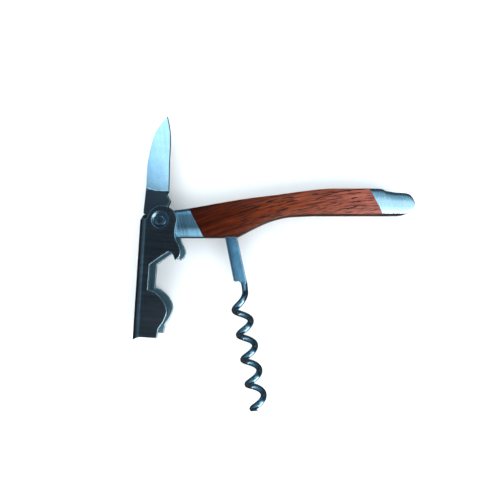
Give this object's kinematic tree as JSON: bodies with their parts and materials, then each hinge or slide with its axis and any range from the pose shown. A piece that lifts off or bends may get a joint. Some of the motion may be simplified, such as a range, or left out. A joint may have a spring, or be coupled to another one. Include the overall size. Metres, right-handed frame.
{
  "type": "waiters corkscrew",
  "caption": "Folding waiters corkscrew with a curved wooden handle, steel bolsters, a notched lever, a foil knife and a swinging wire worm, lying open on its side.",
  "frame": {"origin": "middle of the open object's footprint, on the plane it lies on", "axes": "+Z out of the near side, square to the flat lever; +Y towards the knife's point; +X towards the handle's tail; the pivot and the worm's hinge are parallel to Z"},
  "size_m": [0.1198, 0.1292, 0.013],
  "materials": {
    "lever_steel": "brushed along the lever, satin",
    "rivet_steel": "turned, satin",
    "blade_steel": "finely ground",
    "washer_brass": "plain",
    "worm_steel": "polished wire with a satin shank",
    "pin_steel": "plain",
    "liner_steel": "satin",
    "rosewood": "oiled, dark pores along the grain",
    "bolster_steel": "satin, polished edges",
    "spring_steel": "satin"
  },
  "bodies": {
    "handle": {"knife_washers": "washer_brass", "worm_pin": "pin_steel", "liner_near": "liner_steel", "liner_far": "liner_steel", "scale_near": "rosewood", "scale_far": "rosewood", "front_bolster_near": "bolster_steel", "front_bolster_far": "bolster_steel", "rear_bolster_near": "bolster_steel", "rear_bolster_far": "bolster_steel", "back_spacer": "spring_steel", "leaf_spring": "spring_steel", "stop_pin": "pin_steel", "spacer_pins": "pin_steel", "scale_pins_near": "pin_steel", "scale_pins_far": "pin_steel", "front_bolster_pins": "pin_steel", "rear_bolster_pins": "pin_steel"},
    "lever": {"lever_channel": "lever_steel", "pivot_rivet": "rivet_steel"},
    "knife": {"knife_blade": "blade_steel"},
    "worm": {"worm": "worm_steel"}
  },
  "joints": [
    {"name": "lever_fold", "type": "hinge", "parent": "handle", "child": "lever", "pos_m": [-0.04762, 0.01903, 0.0065], "axis": [0, 0, 1], "range_deg": [0, 93.7]},
    {"name": "knife_fold", "type": "hinge", "parent": "handle", "child": "knife", "pos_m": [-0.04762, 0.01903, 0.0065], "axis": [0, 0, -1], "range_deg": [0, 84]},
    {"name": "worm_fold", "type": "hinge", "parent": "handle", "child": "worm", "pos_m": [-0.01877, 0.01473, 0.0065], "axis": [0, 0, 1], "range_deg": [0, 80]}
  ],
  "couplings": [
    {"joint": "worm_fold", "follows": "lever_fold", "ratio": 0.8537}
  ]
}
